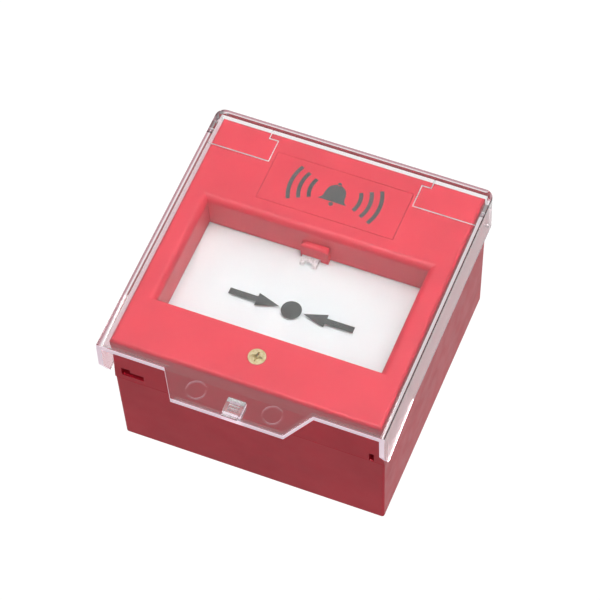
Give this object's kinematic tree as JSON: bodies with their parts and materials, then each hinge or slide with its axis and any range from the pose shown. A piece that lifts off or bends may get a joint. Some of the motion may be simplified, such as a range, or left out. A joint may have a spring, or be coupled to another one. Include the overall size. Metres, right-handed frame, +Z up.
{
  "type": "manual call point",
  "caption": "Square wall-mounted fire alarm call point: red box and bezel, recessed tilting press plate with a sprung latch and microswitch, hinged clear cover with a finger tab.",
  "frame": {"origin": "centre of the back face, which stands against the wall", "axes": "+X to the right seen from the front, +Z up, +Y into the wall, so the front looks towards -Y"},
  "size_m": [0.0908, 0.0573, 0.1027],
  "materials": {
    "red_plastic": "satin moulded ABS with a fine spark texture",
    "yellow_zinc": "yellow zinc plate",
    "brass": "turned brass",
    "clear_plastic": "clear polished polycarbonate",
    "steel": "bright zinc-plated steel",
    "white_plastic": "white moulded ABS",
    "black_plastic": "black acetal",
    "grey_plastic": "grey moulded ABS",
    "button_plastic": "moulded plastic",
    "board_laminate": "green solder mask",
    "terminal_plastic": "green moulded polyamide",
    "resistor_coat": "lacquered"
  },
  "bodies": {
    "root": {"back_box": "red_plastic", "front_bezel": "red_plastic", "legend_panel": "red_plastic", "bezel_screw": "yellow_zinc", "screw_insert": "brass", "chassis": "grey_plastic", "chassis_screws": "steel", "plate_pins": "steel", "plate_springs": "steel", "latch_spring": "steel", "circuit_board": "board_laminate", "board_screws": "steel", "microswitch_body": "black_plastic", "microswitch_pin": "steel", "switch_terminals": "brass", "terminal_block": "terminal_plastic", "terminal_clamps": "brass", "terminal_screws": "steel", "resistors": "resistor_coat"},
    "cover": {"clear_cover": "clear_plastic", "cover_hinge_pins": "clear_plastic", "cover_seal_clip": "clear_plastic"},
    "plate": {"press_plate": "white_plastic"},
    "latch": {"status_flag": "clear_plastic", "reset_bar": "black_plastic"},
    "lever": {"microswitch_lever": "steel"},
    "button": {"microswitch_button": "button_plastic"}
  },
  "joints": [
    {"name": "cover_hinge", "type": "hinge", "parent": "root", "child": "cover", "pos_m": [0, -0.045, 0.0402], "axis": [-1, 0, 0], "range_deg": [0, 100]},
    {"name": "plate_tilt", "type": "hinge", "parent": "root", "child": "plate", "pos_m": [0, -0.04, -0.0299], "axis": [-1, 0, 0], "range_deg": [0, 4], "stiffness_Nm_per_rad": 0.3, "springref_deg": -20.05, "deforming": ["plate_springs", "latch_spring"]},
    {"name": "latch_slide", "type": "slide", "parent": "root", "child": "latch", "axis": [0, 0, -1], "range_m": [0, 0.0026]},
    {"name": "lever_tilt", "type": "hinge", "parent": "root", "child": "lever", "pos_m": [0, -0.0347, -0.004], "axis": [-1, 0, 0], "range_deg": [0, 9.8]},
    {"name": "button_travel", "type": "slide", "parent": "root", "child": "button", "axis": [0, 1, 0], "range_m": [0, 0.0009]}
  ],
  "couplings": [
    {"joint": "latch_slide", "follows": "plate_tilt", "m_per_rad": 0.03581},
    {"joint": "lever_tilt", "follows": "plate_tilt", "ratio": 2.42},
    {"joint": "button_travel", "follows": "plate_tilt", "m_per_rad": 0.012032}
  ]
}
